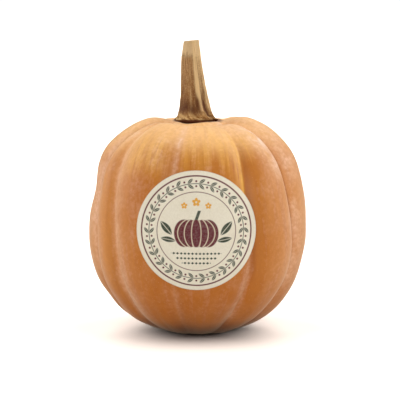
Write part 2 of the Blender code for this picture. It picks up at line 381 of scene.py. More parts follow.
class Paint:
    """One Principled material and the nodes that its patterns are made of."""

    def __init__(self, name):
        self.material = bpy.data.materials.new(name)
        self.material.use_nodes = True
        self.tree = self.material.node_tree
        self.shader = self.tree.nodes["Principled BSDF"]

    def node(self, kind, values=(), **settings):
        """A new node with its settings, and with values for the inputs that are named or numbered."""
        node = self.tree.nodes.new(kind)
        for name, setting in settings.items():
            setattr(node, name, setting)
        for key, value in dict(values).items():
            self.plug(value, node.inputs[key])
        return node

    def plug(self, value, socket):
        if isinstance(value, Field):
            self.tree.links.new(value.socket, socket)
        else:
            socket.default_value = value

    def set(self, **values):
        """Sets the shader's inputs. An input's name is written with underscores."""
        for name, value in values.items():
            self.plug(value, self.shader.inputs[name.replace("_", " ")])

    def math(self, operation, *values):
        node = self.node("ShaderNodeMath", enumerate(values), operation=operation)
        return Field(self, node.outputs[0])

    def attribute(self, name):
        return Field(self, self.node("ShaderNodeAttribute", attribute_name=name).outputs["Fac"])

    def vector(self, name):
        return Field(self, self.node("ShaderNodeAttribute", attribute_name=name).outputs["Vector"])

    def place(self):
        """The point on the object, in metres."""
        return Field(self, self.node("ShaderNodeTexCoord").outputs["Object"])

    def stretch(self, vector, factors):
        node = self.node("ShaderNodeVectorMath", ((0, vector), (1, factors)), operation="MULTIPLY")
        return Field(self, node.outputs[0])

    def noise(self, vector, scale, detail=2.0, roughness=0.5, distortion=0.0):
        """Noise about 0.5. The scale is in cells for each unit of the vector."""
        values = {
            "Vector": vector,
            "Scale": scale,
            "Detail": detail,
            "Roughness": roughness,
            "Distortion": distortion,
        }
        return Field(self, self.node("ShaderNodeTexNoise", values).outputs[0])

    def cells(self, vector, scale):
        """The distance to the nearest of many scattered points, in cells."""
        values = {"Vector": vector, "Scale": scale}
        return Field(self, self.node("ShaderNodeTexVoronoi", values).outputs["Distance"])

    def ease(self, value, low, high):
        """0 at low, 1 at high, and a smooth step between them. Low may be the larger."""
        values = {"Value": value, "From Min": low, "From Max": high}
        node = self.node("ShaderNodeMapRange", values, interpolation_type="SMOOTHSTEP")
        return Field(self, node.outputs[0])

    def mix(self, share, first, second):
        node = self.node("ShaderNodeMix", ((0, share), (6, first), (7, second)), data_type="RGBA")
        return Field(self, node.outputs[2])

    def bump(self, height, distance, strength=1.0):
        """Sets the shader's normal from a height field. The distance is the height of one unit."""
        values = {"Height": height, "Distance": distance, "Strength": strength}
        self.plug(Field(self, self.node("ShaderNodeBump", values).outputs[0]), self.shader.inputs["Normal"])


def outline(latitude):
    """(radius, height, outward direction) of the fruit's crests at a latitude."""
    angle = math.radians(latitude)
    above = latitude >= 0
    exponent = SHOULDER_EXPONENT if above else BELLY_EXPONENT
    reach = CROWN_HEIGHT - EQUATOR_HEIGHT if above else EQUATOR_HEIGHT + FOOT_SINK
    across = abs(math.cos(angle)) / FRUIT_RADIUS
    along = abs(math.sin(angle)) / reach
    distance = (across**exponent + along**exponent) ** (-1 / exponent)
    radius = distance * math.cos(angle)
    rise = distance * math.sin(angle)
    slope = across ** (exponent - 1) / FRUIT_RADIUS, along ** (exponent - 1) / reach
    outward = Vector((slope[0], math.copysign(slope[1], rise))).normalized()
    return radius, EQUATOR_HEIGHT + rise, outward


def furrow_share(latitude, radius):
    """How deep a furrow is here: deepest over the shoulder, and fading out at the stem and the foot."""
    if latitude < 0:
        return EQUATOR_SHARE * lerp(FOOT_SHARE, 1, ease(*FOOT_FADE, radius))
    over_shoulder = lerp(EQUATOR_SHARE, 1, ease(0, 50, latitude))
    return over_shoulder * ease(ATTACH_RADIUS * 0.9, FURROW_START, radius)


def furrow_azimuth(lobe, latitude):
    """The azimuth of a lobe's left furrow: a smooth curve through its three given ones, with a swing."""
    turns, index = divmod(lobe, len(LOBES))
    at_stem, at_equator, at_blossom = LOBES[index][:3]
    rise = math.sin(math.radians(latitude))
    lean = (at_stem - at_blossom) / 2
    bow = (at_stem + at_blossom) / 2 - at_equator
    swing = SWINGS[index] * math.sin(SWING_RATE * (SWING_START - rise))
    return 360 * turns + at_equator + lean * rise + bow * rise * rise + swing


def lobe_rise(across, softness):
    """0 in the furrow on either side of a lobe, and 1 on its crest."""
    inside = 1 - abs(2 * across - 1)
    share = (math.hypot(inside, softness) - softness) / (math.hypot(1, softness) - softness)
    return 1 - (1 - share) ** LOBE_ROUNDNESS


def fold(gap, reach):
    """1 in a fold, falling quickly to nothing a few reaches away, with a narrow rounded bottom."""
    return math.exp((FOLD_SOFTNESS - math.hypot(gap, FOLD_SOFTNESS)) / reach)


def unevenness(latitude, azimuth, radius, height):
    """Broad dents, faint ribs and small lumps, as a height over the smooth skin."""
    angle = math.radians(azimuth)
    outwards = Vector((math.sin(angle), -math.cos(angle), 0))
    place = outwards * radius + Vector((0, 0, height))
    dents = noise(place * 24) * DENT_HEIGHT + noise(place * 60) * SMALL_DENT_HEIGHT
    ribs = noise(outwards * 9 + Vector((0, 0, height * 7))) * RIB_HEIGHT
    lumps = noise(place * 160) * LUMP_HEIGHT
    side = 0.0
    for crease_azimuth, low, high, depth in SIDE_CREASES:
        turn = (azimuth - crease_azimuth + 180) % 360 - 180
        wander = 2.5 * noise(Vector((crease_azimuth, 0, height * 30)))
        along = ease(low - 8, low + 8, latitude) * ease(high + 8, high - 8, latitude)
        side += depth * along * hump(radius * math.radians(turn + wander), SIDE_CREASE_WIDTH)
    bulges = 0.0
    for bulge_azimuth, bulge_height, around, up, rise in BULGES:
        turn = (azimuth - bulge_azimuth + 180) % 360 - 180
        bulges += rise * hump(turn, around) * hump(height - bulge_height, up)
    return (dents + ribs + lumps - side) * ease(SCAR_RADIUS, 40 * MM, radius) + bulges


def skin_point(lobe, across, latitude, depth_share=1.0):
    """A point of the skin: across runs from 0 at the lobe's left furrow to 1 at its right one."""
    radius, height, outward = outline(latitude)
    left_depth, left_softness, swell, lift = LOBES[lobe][3:]
    right_depth, right_softness = LOBES[(lobe + 1) % len(LOBES)][3:5]
    to_right = ease(0, 1, across)
    rise = lobe_rise(across, lerp(left_softness, right_softness, to_right))
    depth = lerp(left_depth, right_depth, to_right) * depth_share
    bulge = lerp(swell, lift, ease(20, 70, latitude))
    left = furrow_azimuth(lobe, latitude)
    right = furrow_azimuth(lobe + 1, latitude)
    azimuth = lerp(left, right, across)
    fading = furrow_share(latitude, radius)
    out = (bulge * rise - depth * (1 - rise)) * fading
    out += unevenness(latitude, azimuth, radius, height) * depth_share**0.5
    width = radius * math.radians(right - left)
    left_fold, _, left_reach = FOLDS[lobe]
    right_fold, right_reach, _ = FOLDS[(lobe + 1) % len(LOBES)]
    folds = left_fold * fold(across * width, left_reach)
    folds += right_fold * fold((1 - across) * width, right_reach)
    out -= folds * fading * depth_share**2
    radius += outward.x * out
    height += outward.y * out
    if latitude > 0:
        height -= PIT_DEPTH * (1 - ease(ATTACH_RADIUS * 0.5, PIT_RADIUS, radius))
        height -= CREVICE_DEPTH * hump(radius - CREVICE_RADIUS, CREVICE_WIDTH)
    else:
        height = max(height, 0) + SCAR_DEPTH * (1 - ease(SCAR_RADIUS / 3, SCAR_RADIUS, radius))
    angle = math.radians(azimuth)
    return Vector((radius * math.sin(angle), -radius * math.cos(angle), height))


def scar_latitude(share):
    return -math.degrees(math.atan2(EQUATOR_HEIGHT + FOOT_SINK, SCAR_RADIUS * share))


def skin_latitudes():
    """Even rows from under the stem down to the scar's rim, and then a few inside the scar."""
    seat = math.degrees(math.atan2(CROWN_HEIGHT - EQUATOR_HEIGHT, ATTACH_RADIUS * 0.7))
    rows = [lerp(seat, scar_latitude(1), row / FRUIT_ROWS) for row in range(FRUIT_ROWS)]
    return rows + [scar_latitude(1 - row / SCAR_ROWS) for row in range(SCAR_ROWS)]


def faces_between(rings):
    """The faces that join each ring of points to the next one. All the rings are equally long."""
    count = len(rings[0])
    faces = []
    for row in range(len(rings) - 1):
        start = row * count
        for i in range(count):
            after = (i + 1) % count
            faces.append((start + i, start + count + i, start + count + after, start + after))
    return faces


def rings_to_mesh(name, rings):
    """A closed mesh through rings of points, with both end rings capped."""
    count = len(rings[0])
    caps = [tuple(range(count)), tuple(reversed(range(count * (len(rings) - 1), count * len(rings))))]
    mesh = bpy.data.meshes.new(name)
    mesh.from_pydata([point for ring in rings for point in ring], [], caps + faces_between(rings))
    face_outwards(mesh)
    mesh.shade_smooth()
    return mesh


def face_outwards(mesh):
    shape = bmesh.new()
    shape.from_mesh(mesh)
    bmesh.ops.recalc_face_normals(shape, faces=shape.faces)
    shape.to_mesh(mesh)
    shape.free()


def set_floats(mesh, name, values):
    mesh.attributes.new(name, "FLOAT", "POINT").data.foreach_set("value", values)


def set_vectors(mesh, name, vectors):
    flat = [part for vector in vectors for part in vector]
    mesh.attributes.new(name, "FLOAT_VECTOR", "POINT").data.foreach_set("vector", flat)


def fit(points, low, high):
    """The scale and the shift, for each axis, that bring the points' box to these corners."""
    scale, shift = Vector((1, 1, 1)), Vector()
    for axis in range(3):
        least = min(point[axis] for point in points)
        most = max(point[axis] for point in points)
        scale[axis] = (high[axis] - low[axis]) / (most - least)
        shift[axis] = low[axis] - least * scale[axis]
    return scale, shift


def fitted(point, scale, shift):
    return Vector(part * s + t for part, s, t in zip(point, scale, shift))


def show(node, mesh, paint):
    """Puts a mesh in the scene as the piece that stands for a CAD node."""
    piece = bpy.data.objects.new("shown_" + node, mesh)
    bpy.context.scene.collection.objects.link(piece)
    mesh.materials.append(paint.material)
    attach(piece, "root")
    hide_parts(node)
    lit("pieces").objects.link(piece)


def crowded_shares(columns):
    """Where columns of points are, from 0 to 1, crowded towards both ends."""
    even = [column / columns for column in range(columns)]
    return [share - CROWDING * math.sin(math.tau * share) / math.tau for share in even]


def skin_rings(depth_share=1.0, columns=LOBE_COLUMNS):
    return [
        [
            skin_point(lobe, across, latitude, depth_share)
            for lobe in range(len(LOBES))
            for across in crowded_shares(columns)
        ]
        for latitude in skin_latitudes()
    ]


def band_strength(bands, furrow, beside, level):
    """How strong the bands of one furrow are at this level, this far to the right of it."""
    total = 0.0
    for band_furrow, offset, width, low, high, strength in bands:
        if band_furrow == furrow % len(LOBES):
            fading = ease(low - 0.06, low + 0.06, level) * ease(high + 0.04, high - 0.04, level)
            total += strength * fading * hump(beside - offset, width)
    return total


def mark_skin(mesh):
    """Stores what the skin's colours follow.

    That is the gap to the nearest furrow, the bands beside it, the level, the ring of painted shade at the
    stem's seat
    and the grain: a point on a straight cylinder that stands for the fruit, so that streaks follow the lobes.
    """
    bands = {"frost": FROST_AND_HIGHLIGHT_BANDS, "gold_and_highlight": GOLD_AND_HIGHLIGHT_BANDS, "shade": SHADE_BANDS}
    marks = {name: [] for name in ("gap", "frost", "gold_and_highlight", "shade", "level", "seat")}
    grains = []
    path = 0.0
    before = None
    for latitude in skin_latitudes():
        radius, height, _ = outline(latitude)
        if before is not None:
            path += math.dist(before, (radius, height))
        before = radius, height
        level = height / CROWN_HEIGHT
        # A ring of painted shade, with a brownish line in it, on the skin round the stem's foot
        seat = ease(ATTACH_RADIUS + 2 * MM, ATTACH_RADIUS - 1 * MM, radius) * ease(0, 50, latitude)
        for lobe in range(len(LOBES)):
            left, right = furrow_azimuth(lobe, latitude), furrow_azimuth(lobe + 1, latitude)
            width = radius * math.radians(right - left)
            start, end = furrow_azimuth(lobe, 0), furrow_azimuth(lobe + 1, 0)
            for across in crowded_shares(LOBE_COLUMNS):
                angle = math.radians(lerp(start, end, across))
                sides = ((lobe, across * width), (lobe + 1, (across - 1) * width))
                for name, lines in bands.items():
                    marks[name].append(sum(band_strength(lines, *side, level) for side in sides))
                marks["gap"].append(min(across, 1 - across) * width)
                marks["level"].append(level)
                marks["seat"].append(seat)
                grains.append((math.sin(angle), -math.cos(angle), path / FRUIT_RADIUS))
    for name, values in marks.items():
        set_floats(mesh, name, values)
    set_vectors(mesh, "grain", grains)


def paint_skin():
    """Orange-tan skin: deeper and redder low down, golden streaks at the top, a pale waxy bloom, painted
    sheen on the sides, painted highlights on lit lips, and painted shade at the bottom and round the stem's
    foot.
    """
    paint = Paint("bloomed_skin")
    place = paint.place()
    grain = paint.vector("grain")
    level = paint.attribute("level")
    gap = paint.attribute("gap")

    broad = paint.noise(place, 20, 2)
    long_streaks = paint.noise(paint.stretch(grain, (14, 14, 1.2)), 1, 3, 0.6)
    fine_streaks = paint.noise(paint.stretch(grain, (34, 34, 3.0)), 1, 3, 0.6)
    mottle = paint.noise(place, 330, 3, 0.6)
    speckle = paint.noise(place, 1100, 2, 0.6)

    axes = paint.node("ShaderNodeSeparateXYZ", {0: grain})
    # Painted sheen: the skin is paler on the sides of the fruit, away from the front, where the light catches
    # it
    painted_side_sheen = paint.ease(abs(Field(paint, axes.outputs[0])) + (broad - 0.5) * 0.4, 0.42, 0.92)
    painted_side_sheen = painted_side_sheen * paint.ease(level, 0.05, 0.4)
    uneven_level = level + (broad - 0.5) * 0.2 + (long_streaks - 0.5) * 0.12
    flesh = paint.mix(paint.ease(uneven_level, 0.6, 0.1), srgb(190, 112, 33), srgb(187, 104, 22))
    flesh = paint.mix(painted_side_sheen * 0.85, flesh, srgb(212, 138, 62))
    flesh = paint.mix(paint.ease(uneven_level, 0.79, 0.99), flesh, srgb(246, 188, 112))
    flesh = paint.mix(paint.ease(long_streaks, 0.45, 0.68) * 0.3, flesh, srgb(176, 90, 26))

    top = paint.ease(level, 0.7, 0.9)
    streak_gold = paint.ease(long_streaks * 0.75 + fine_streaks * 0.25, 0.48, 0.68) * top * 0.4
    # Golden streaks and lips; on the lip beside furrow 3 the gold is partly a painted highlight
    lip_gold_and_highlight = paint.attribute("gold_and_highlight") * paint.ease(fine_streaks, 0.25, 0.55)
    gold_and_highlight = paint.mix(paint.math("MINIMUM", streak_gold + lip_gold_and_highlight * 0.9, 0.9), flesh, srgb(240, 178, 70))

    # Bloom beside the furrows; where the bands are strongest, near the top, they are a painted highlight
    frost = paint.attribute("frost") * paint.ease(paint.noise(place, 70, 3, 0.6), 0.25, 0.55)
    valley = paint.ease(gap, 14 * MM, 0 * MM) * paint.ease(broad, 0.35, 0.6)
    patches = paint.ease(paint.noise(place, 34, 4, 0.6), 0.45, 0.75)
    smears = paint.ease(long_streaks * 0.7 + mottle * 0.3, 0.48, 0.66)
    # Pale waxy bloom, with the painted sheen on the sides and part of the painted highlight added in
    bloom_and_sheen = patches * 0.12 + smears * 0.1 + paint.ease(level, 0.85, 1.0) * 0.12
    bloom_and_sheen = bloom_and_sheen * (0.4 + 0.6 * paint.ease(level, 0.05, 0.35)) + frost * 0.4 + valley * 0.06 + painted_side_sheen * 0.08
    bloom_and_sheen = bloom_and_sheen * (0.8 + 0.4 * paint.ease(mottle, 0.35, 0.65))
    bloom_and_sheen = paint.math("MAXIMUM", paint.math("MINIMUM", bloom_and_sheen, 0.8), 0)
    skin = paint.mix(bloom_and_sheen, gold_and_highlight, srgb(246, 204, 174))
    # Painted highlight: the strongest bands near the top turn almost white, as a glint on the lobe's lip
    painted_highlight = paint.ease(frost, 0.9, 2.0) * paint.ease(level, 0.84, 0.92)
    skin = paint.mix(painted_highlight * 0.85, skin, srgb(255, 240, 230))

    pores = paint.ease(paint.cells(place, 420), 0.16, 0.06)
    skin = paint.mix(paint.ease(mottle, 0.62, 0.4) * 0.1, skin, srgb(150, 78, 26))
    skin = paint.mix(pores * 0.16, skin, srgb(240, 200, 160))
    skin = paint.mix(paint.attribute("shade") * 0.6, skin, srgb(146, 76, 30))
    # Painted shade at the very bottom: darker and redder where the skin meets the floor
    skin = paint.mix(paint.ease(level, 0.1, 0.01) * 0.9, skin, srgb(104, 36, 4))
    # The ring of painted shade, with its brownish line, round the stem's foot
    skin = paint.mix(paint.attribute("seat") * 0.9, skin, srgb(104, 44, 16))
    paint.set(
        Base_Color=skin,
        Roughness=0.4 + bloom_and_sheen * 0.4 + (speckle - 0.5) * 0.1,
        Specular_IOR_Level=0.3,
        Sheen_Weight=0.36,
        Sheen_Roughness=0.45,
        Sheen_Tint=srgb(255, 222, 184),
    )
    height = mottle * 0.4 + speckle * 0.12 + fine_streaks * 0.4 - pores * 0.25
    paint.bump(height, 0.2 * MM)
    return paint


def make_fruit():
    """The fruit's fine mesh, with the scale and shift that fit it to its CAD node."""
    rings = skin_rings()
    points = [point for ring in rings for point in ring]
    scale, shift = fit(points, *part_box("fruit"))
    mesh = rings_to_mesh("fruit", [[fitted(point, scale, shift) for point in ring] for ring in rings])
    mark_skin(mesh)
    show("fruit", mesh, paint_skin())
    return scale, shift


def stem_centre(share):
    """The stem's middle line, which leans over as it rises, at a share of its height."""
    return STEM_FOOT.lerp(STEM_TOP, ease(0, STEM_LEAN_REACH, share))


def stem_columns():
    """Where the columns of the stem's points are: a ridge, and how far across to the next ridge from it."""
    return [(ridge, across) for ridge in range(len(RIDGES)) for across in crowded_shares(RIDGE_COLUMNS)]


def stem_crest(ridge, across):
    """How far the bark rises here out of the grooves, from 0 to 1."""
    height = lerp(RIDGES[ridge][1], RIDGES[(ridge + 1) % len(RIDGES)][1], across)
    return height * (1 - math.sin(math.pi * across) ** GROOVE_WIDTH)


def shaft_azimuth(ridge, across):
    """The azimuth of a column of points up the shaft, above the sweep of its foot."""
    turns, after = divmod(ridge + 1, len(RIDGES))
    return lerp(RIDGES[ridge][0], RIDGES[after][0] + 360 * turns, across)


def stem_radius(share, crest):
    """The stem's radius: a tapering shaft that flares at its foot."""
    shaft = lerp(SHAFT_FOOT_RADIUS, SHAFT_TOP_RADIUS, share) * lerp(1, CUT_SHARE, ease(0.85, 1, share))
    flared = shaft + FLARE * math.exp(-((share / FLARE_REACH) ** 1.3))
    return flared * (1 - GROOVE_SHARE * (1 - crest))


def stem_grain(share, azimuth):
    """A point on a straight cylinder that stands for the stem, so that fibres follow its sweep."""
    angle = math.radians(azimuth)
    return Vector((math.sin(angle), -math.cos(angle), share * STEM_HEIGHT / SHAFT_FOOT_RADIUS))


def on_left_face(azimuth):
    """1 on the stem's broad left face, and 0 right of its main ridge and behind."""
    turn = (azimuth + 180) % 360 - 180
    return ease(-105, -85, turn) * ease(34, 22, turn)


def bark_band(bands, share, azimuth):
    """How strong these bands are at a share of the stem's height and an azimuth."""
    total = 0.0
    for band_azimuth, around, low, high, strength in bands:
        turn = (azimuth - band_azimuth + 180) % 360 - 180
        fading = ease(low - 0.05, low + 0.05, share) * ease(high + 0.1, high - 0.1, share)
        total += strength * fading * hump(turn, around)
    return total


def bark_height(share, azimuth):
    """Fibres, a crack near the top and warts round the foot, as a height over the smooth stem."""
    grain = stem_grain(share, azimuth)
    fibres = noise(Vector((grain.x * 9, grain.y * 9, grain.z * 0.7))) * FIBRE_HEIGHT
    strands = noise(Vector((grain.x * 22, grain.y * 22, grain.z * 1.2))) * STRAND_HEIGHT
    knots = noise(grain * 2.2) * KNOT_HEIGHT
    wander = 0.06 * noise(Vector((grain.x * 4, grain.y * 4, 5)))
    above_crack = ease(CRACK_SHARE - 0.008, CRACK_SHARE + 0.008, share + wander)
    step = CRACK_STEP * above_crack * on_left_face(azimuth)
    warts = max(0, noise(grain * 4.5 + Vector((3, 1, 2)))) * WART_HEIGHT * ease(0.15, 0.05, share)
    return fibres + strands + knots - step + warts


def stem_ring(row):
    """One ring of points and its share of the height. Rows above STEM_ROWS lie on the sloping cut."""
    cut = max(0, row - STEM_ROWS) / CUT_RINGS
    share = min(1, max(0, row / STEM_ROWS) ** STEM_ROW_CROWDING)
    centre = stem_centre(share)
    base = CROWN_HEIGHT - PIT_DEPTH + STEM_GAP + STEM_HEIGHT * share
    ring = []
    for ridge, across in stem_columns():
        azimuth = shaft_azimuth(ridge, across)
        angle = math.radians(azimuth + FOOT_SWEEP * math.exp(-share / SWEEP_REACH))
        bark = bark_height(share, azimuth) * ease(0, 0.02, share)
        radius = stem_radius(share, stem_crest(ridge, across)) + bark
        height = base + RIM_HEIGHT * (1 - share)
        if row < 0:
            radius *= RIM_SHARE
            height = base
        radius *= 1 - cut
        point = centre + Vector((radius * math.sin(angle), -radius * math.cos(angle), 0))
        point.z = height + CUT_SLOPE * (point.x - centre.x) * ease(0.9, 1, share)
        if cut:
            rough = noise(Vector((point.x, point.y, 0)) * 700) * CUT_ROUGHNESS
            point.z += rough * hump(cut - 0.5, 0.4) - CUT_HOLLOW * ease(0.35, 0.75, cut)
        ring.append(point)
    return ring, share, cut


def paint_stem():
    """Dry woody stalk: pale ridges, partly painted highlights, a brown left face, olive right ones, dark
    stains, painted shade along its foot and a pale cut end.
    """
    paint = Paint("dry_stalk")
    place = paint.place()
    grain = paint.vector("grain")
    rise = paint.attribute("rise")
    crest = paint.attribute("crest")
    cut = paint.attribute("cut")
    left = paint.attribute("left")

    fibres = paint.noise(paint.stretch(grain, (30, 30, 1.5)), 1, 4, 0.65)
    streaks = paint.noise(paint.stretch(grain, (9, 9, 0.7)), 1, 3, 0.6)
    blotches = paint.noise(grain, 2.4, 4, 0.6)
    specks = paint.noise(place, 900, 3, 0.6)

    olive = paint.mix(paint.ease(rise, 0.15, 0.75), srgb(140, 98, 54), srgb(206, 170, 122))
    brown = paint.mix(paint.ease(rise, 0.2, 0.8), srgb(140, 90, 42), srgb(182, 136, 88))
    wood = paint.mix(left, olive, brown)
    wood = paint.mix(paint.ease(streaks, 0.5, 0.3) * 0.35, wood, srgb(112, 74, 38))
    wood = paint.mix(paint.ease(fibres, 0.5, 0.36) * 0.75, wood, srgb(104, 66, 34))
    wood = paint.mix(paint.ease(fibres, 0.53, 0.66) * 0.6, wood, srgb(226, 188, 132))
    wood = paint.mix(paint.ease(specks, 0.5, 0.38) * 0.3, wood, srgb(112, 70, 34))
    wood = paint.mix(paint.ease(specks, 0.54, 0.66) * 0.3, wood, srgb(214, 182, 128))

    wander = (blotches - 0.5) * 0.24 + (fibres - 0.5) * 0.12
    cap = paint.ease(rise + wander, CRACK_SHARE - 0.05, CRACK_SHARE + 0.05)
    wood = paint.mix(cap * 0.75, wood, srgb(230, 198, 150))
    crack = paint.ease(abs(rise + (streaks - 0.5) * 0.08 - CRACK_SHARE), 0.014, 0.004) * left
    wood = paint.mix(crack * paint.ease(fibres, 0.4, 0.6) * 0.4, wood, srgb(96, 66, 38))

    # Pale ridges: pale bark, partly a painted highlight where the ridges catch the light
    pale_highlit_crests = paint.ease(crest + (fibres - 0.5) * 0.3, 0.3, 0.6)
    ridge = paint.math("MAXIMUM", pale_highlit_crests, paint.attribute("pale"))
    ridge = ridge * (0.6 + 0.4 * paint.ease(fibres, 0.35, 0.6))
    wood = paint.mix(paint.math("MINIMUM", ridge, 0.92), wood, srgb(236, 200, 146))
    foot = paint.ease(rise + (blotches - 0.5) * 0.2, 0.16, 0.06)
    knobs = paint.ease(specks * 0.2 + paint.noise(grain, 5, 2) * 0.8, 0.38, 0.62)
    wood = paint.mix(foot * 0.85, wood, paint.mix(knobs, srgb(146, 98, 48), srgb(222, 182, 120)))
    stain = paint.attribute("stain") * paint.ease(blotches * 0.4 + fibres * 0.6, 0.3, 0.48)
    wood = paint.mix(paint.math("MINIMUM", stain, 0.92), wood, srgb(84, 44, 18))
    # A dark band along the foot's lower edge: partly a dark scar and partly painted shade where the foot
    # meets the skin
    wood = paint.mix(paint.ease(rise + (blotches - 0.5) * 0.02, 0.036, 0.018) * 0.95, wood, srgb(82, 34, 8))

    pith = paint.mix(paint.ease(cut, 0.3, 0.75), srgb(206, 182, 136), srgb(120, 96, 66))
    pith = paint.mix(paint.ease(paint.cells(place, 1300), 0.3, 0.1) * 0.6, pith, srgb(96, 72, 46))
    paint.set(
        Base_Color=paint.mix(paint.ease(cut, 0.0, 0.08), wood, pith),
        Roughness=0.66 + (fibres - 0.5) * 0.3,
        Specular_IOR_Level=0.2,
    )
    paint.bump(fibres * 1.2 + specks * 0.25 + streaks * 0.5, 0.4 * MM)
    return paint


def make_stem():
    """The ridged stalk, with fibres, warts at its foot and a rough, hollowed cut end."""
    rows = [stem_ring(row) for row in range(-1, STEM_ROWS + CUT_RINGS)]
    points = [point for ring, _, _ in rows for point in ring]
    scale, shift = fit(points, *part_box("stem"))
    mesh = rings_to_mesh("stem", [[fitted(point, scale, shift) for point in ring] for ring, _, _ in rows])
    columns = stem_columns()
    azimuths = [shaft_azimuth(*column) for column in columns]
    set_vectors(mesh, "grain", [stem_grain(share, a) for _, share, _ in rows for a in azimuths])
    for name, bands in (("stain", STAINS), ("pale", PALE_BANDS)):
        set_floats(mesh, name, [bark_band(bands, share, a) for _, share, _ in rows for a in azimuths])
    set_floats(mesh, "crest", [stem_crest(*column) for _ in rows for column in columns])
    set_floats(mesh, "left", [on_left_face(a) for _ in rows for a in azimuths])
    set_floats(mesh, "rise", [share for _, share, _ in rows for _ in columns])
    set_floats(mesh, "cut", [cut for _, _, cut in rows for _ in columns])
    show("stem", mesh, paint_stem())


def label_bed(scale, shift):
    """The surface that the label lies on: the skin with the shallower furrows that paper can follow."""
    rings = skin_rings(LABEL_FURROW_SHARE, LABEL_BED_COLUMNS)
    points = [fitted(point, scale, shift) for ring in rings for point in ring]
    return BVHTree.FromPolygons(points, faces_between(rings))


def label_layer(bed, middle, radius, lift):
    """Rings of points, from the middle out, of a disc laid on the bed from the front."""
    layer = []
    for ring in range(LABEL_RINGS + 1):
        for spoke in range(LABEL_SPOKES if ring else 1):
            angle = math.tau * spoke / LABEL_SPOKES
            reach = radius * ring / LABEL_RINGS
            start = middle + Vector((reach * math.sin(angle), 0, reach * math.cos(angle)))
            place, normal, _, _ = bed.ray_cast(start, Vector((0, 1, 0)))
            layer.append(place - Vector((0, lift / abs(normal.y), 0)))
    return layer


def label_faces(start):
    """The faces of one layer whose first point has this number."""
    faces = []
    for spoke in range(LABEL_SPOKES):
        after = (spoke + 1) % LABEL_SPOKES
        faces.append((start, start + 1 + after, start + 1 + spoke))
        for ring in range(LABEL_RINGS - 1):
            inner = start + 1 + ring * LABEL_SPOKES
            outer = inner + LABEL_SPOKES
            faces.append((inner + spoke, inner + after, outer + after, outer + spoke))
    return faces


def make_label(scale, shift):
    """The round paper label, laid on the front of the fruit."""
    low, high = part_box("label")
    radius = (high.x - low.x) / 2
    middle = Vector(((low.x + high.x) / 2, low.y - radius, (low.z + high.z) / 2))
    bed = label_bed(scale, shift)
    back = label_layer(bed, middle, radius, LABEL_GAP)
    front = label_layer(bed, middle, radius, LABEL_GAP + LABEL_THICKNESS)
    rim = len(back) - LABEL_SPOKES
    faces = label_faces(0) + label_faces(len(back))
    for spoke in range(LABEL_SPOKES):
        after = (spoke + 1) % LABEL_SPOKES
        faces.append((rim + spoke, rim + after, rim + after + len(back), rim + spoke + len(back)))
    mesh = bpy.data.meshes.new("label")
    mesh.from_pydata(back + front, [], faces)
    face_outwards(mesh)
    mesh.shade_smooth()
    mesh.set_sharp_from_angle(angle=math.radians(50))
    set_vectors(mesh, "print", [(p - middle) / radius for p in back + front])
    show("label", mesh, paint_label())


def turned(x, y, degrees):
    """The coordinates (x, y) in axes that are turned to the left by this many degrees."""
    cos, sin = math.cos(math.radians(degrees)), math.sin(math.radians(degrees))
    return x * cos + y * sin, y * cos - x * sin


class Print:
    """Inked shapes on the label. Its middle is (0, 0) and its edge is 1 away."""

    BLUR = 0.007

    def __init__(self, paint):
        self.paint = paint
        axes = paint.node("ShaderNodeSeparateXYZ", {0: paint.vector("print")})
        self.x = Field(paint, axes.outputs[0])
        self.y = Field(paint, axes.outputs[2])
        self.reach = self.length(self.x, self.y)
        self.turn = paint.math("ARCTAN2", self.x, self.y)

    def length(self, x, y):
        return self.paint.math("SQRT", x * x + y * y)

    def inside(self, depth):
        """1 where the depth inside an edge is above 0, softened over the blur."""
        return self.paint.ease(depth, -self.BLUR, self.BLUR)

    def either(self, *masks):
        total = masks[0]
        for mask in masks[1:]:
            total = self.paint.math("MAXIMUM", total, mask)
        return total

    def ring(self, radius, width):
        return self.inside(width / 2 - abs(self.reach - radius))

    def round_place(self, count, radius, offset=0.0):
        """(along, out): local coordinates in each of a count of equal places round a circle."""
        cell = self.paint.math("FRACT", self.turn * (count / math.tau) + offset) - 0.5
        return cell * self.reach * (math.tau / count), self.reach - radius

    def leaf(self, x, y, length, width):
        """A pointed leaf along x, with a bare midrib."""
        edge = (1 - (x / length) ** 2) * width - abs(y)
        midrib = self.inside(abs(y) - width * 0.08)
        return self.inside(edge) * midrib

    def dot(self, x, y, radius):
        return self.inside(radius - self.length(x, y))

    def oval(self, x, y, across, up):
        """The depth inside an oval, in label units near its edge."""
        return (1 - self.length(x / across, y / up)) * min(across, up)


def leaf_wreath(ink):
    """Pairs of leaves all round the label, leaning both ways from a thin vine."""
    along, out = ink.round_place(26, 0.79)
    x, y = turned(along, out - 0.045, 38)
    outer = ink.leaf(x, y, 0.062, 0.024)
    x, y = turned(along, out + 0.045, -38)
    inner = ink.leaf(x, y, 0.062, 0.024)
    return ink.either(outer, inner, ink.ring(0.79, 0.012))


def berries(ink):
    along, out = ink.round_place(26, 0.79, 0.5)
    return ink.either(ink.dot(along, out - 0.04, 0.017), ink.dot(along, out + 0.04, 0.017))


def gourd(ink):
    """(body, ribs) of a ribbed gourd in the middle of the label."""
    x, y = ink.x, ink.y + 0.03
    lobes = [ink.inside(ink.oval(x - shift, y, 0.17, 0.23)) for shift in (-0.2, -0.1, 0, 0.1, 0.2)]
    ribs = [ink.inside(0.007 - abs(ink.oval(x, y, across, 0.27))) for across in (0.08, 0.2, 0.31)]
    return ink.either(*lobes), ink.either(*ribs)


def gourd_stalk(ink):
    x = ink.x - (ink.y - 0.2) * 0.35
    return ink.inside(0.026 - abs(x)) * ink.inside(0.085 - abs(ink.y - 0.265))


